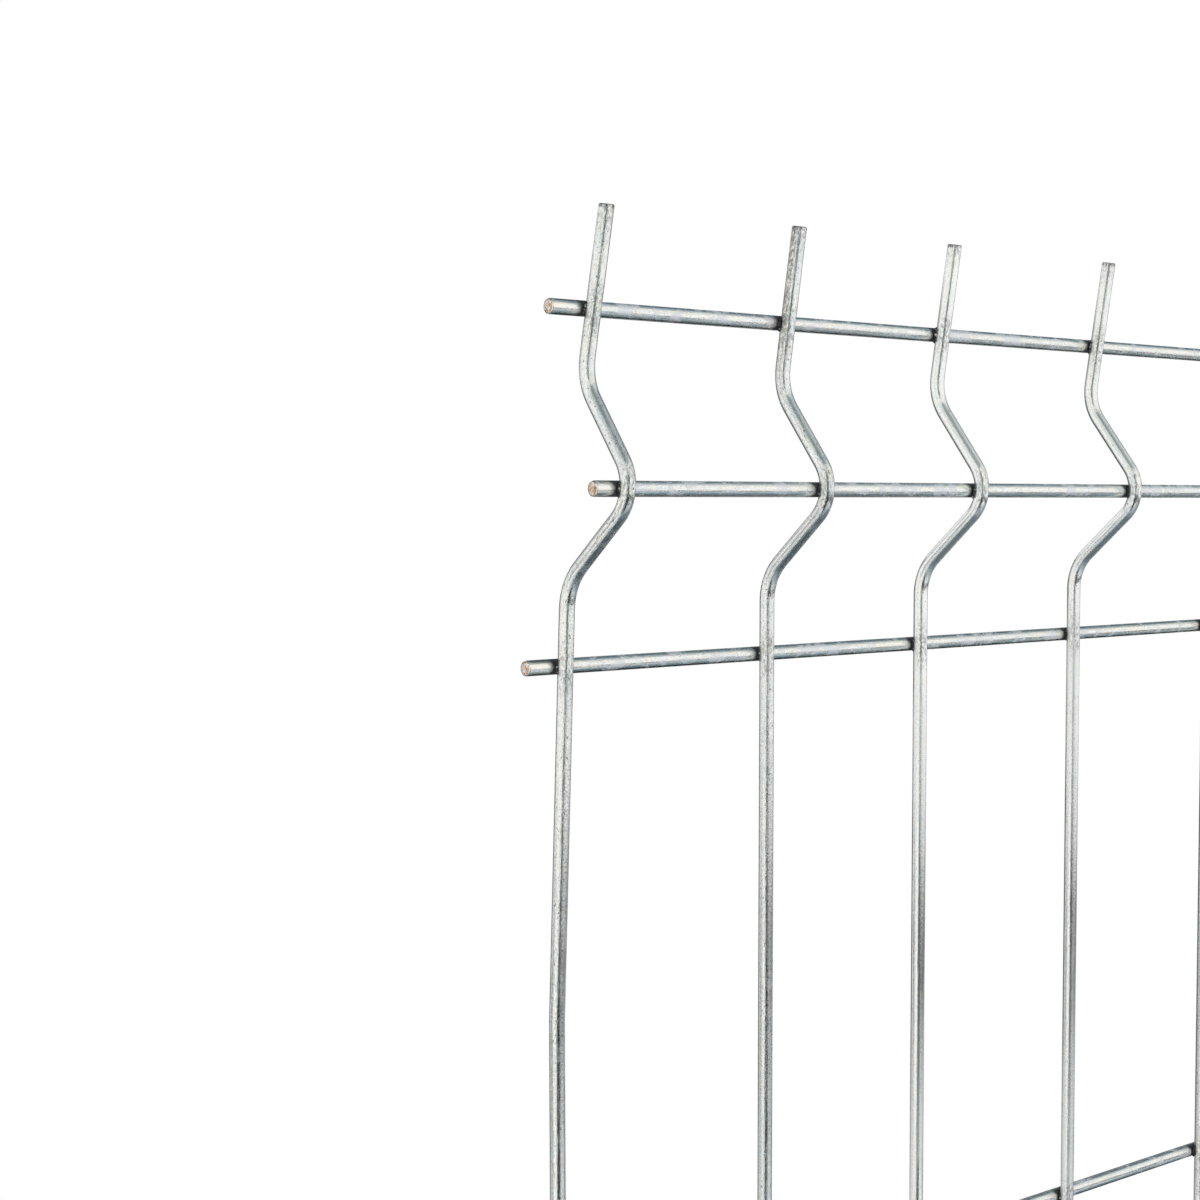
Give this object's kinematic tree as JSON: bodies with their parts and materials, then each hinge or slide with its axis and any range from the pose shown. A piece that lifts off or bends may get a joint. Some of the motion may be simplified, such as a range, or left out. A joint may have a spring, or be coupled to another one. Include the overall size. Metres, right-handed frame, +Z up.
{
  "type": "welded mesh fence panel",
  "caption": "Galvanised steel wire mesh fence panel with a V-shaped stiffening fold along its top and bottom, free wire spikes above and short cut stubs at each end for post clips.",
  "frame": {"origin": "middle of the panel's length and depth, level with its lowest point", "axes": "+X along the panel, -Y towards the front, where the folds stand out, +Z up"},
  "size_m": [2.4994, 0.0338, 1.2327],
  "materials": {
    "galvanised_wire": "hot-dip zinc, bright silver-grey and streaky along the wire, with bare rusty cut ends",
    "weld_metal": "fused steel under dull zinc"
  },
  "bodies": {
    "root": {"vertical_wire_01": "galvanised_wire", "vertical_wire_02": "galvanised_wire", "vertical_wire_03": "galvanised_wire", "vertical_wire_04": "galvanised_wire", "vertical_wire_05": "galvanised_wire", "vertical_wire_06": "galvanised_wire", "vertical_wire_07": "galvanised_wire", "vertical_wire_08": "galvanised_wire", "vertical_wire_09": "galvanised_wire", "vertical_wire_10": "galvanised_wire", "vertical_wire_11": "galvanised_wire", "vertical_wire_12": "galvanised_wire", "vertical_wire_13": "galvanised_wire", "vertical_wire_14": "galvanised_wire", "vertical_wire_15": "galvanised_wire", "vertical_wire_16": "galvanised_wire", "vertical_wire_17": "galvanised_wire", "vertical_wire_18": "galvanised_wire", "vertical_wire_19": "galvanised_wire", "vertical_wire_20": "galvanised_wire", "vertical_wire_21": "galvanised_wire", "vertical_wire_22": "galvanised_wire", "vertical_wire_23": "galvanised_wire", "vertical_wire_24": "galvanised_wire", "vertical_wire_25": "galvanised_wire", "vertical_wire_26": "galvanised_wire", "vertical_wire_27": "galvanised_wire", "vertical_wire_28": "galvanised_wire", "vertical_wire_29": "galvanised_wire", "vertical_wire_30": "galvanised_wire", "vertical_wire_31": "galvanised_wire", "vertical_wire_32": "galvanised_wire", "vertical_wire_33": "galvanised_wire", "vertical_wire_34": "galvanised_wire", "horizontal_wire_01": "galvanised_wire", "horizontal_wire_02": "galvanised_wire", "horizontal_wire_03": "galvanised_wire", "horizontal_wire_04": "galvanised_wire", "horizontal_wire_05": "galvanised_wire", "horizontal_wire_06": "galvanised_wire", "horizontal_wire_07": "galvanised_wire", "horizontal_wire_08": "galvanised_wire", "horizontal_wire_09": "galvanised_wire", "horizontal_wire_10": "galvanised_wire", "weld_row_01": "weld_metal", "weld_row_02": "weld_metal", "weld_row_03": "weld_metal", "weld_row_04": "weld_metal", "weld_row_05": "weld_metal", "weld_row_06": "weld_metal", "weld_row_07": "weld_metal", "weld_row_08": "weld_metal", "weld_row_09": "weld_metal", "weld_row_10": "weld_metal"}
  },
  "joints": []
}
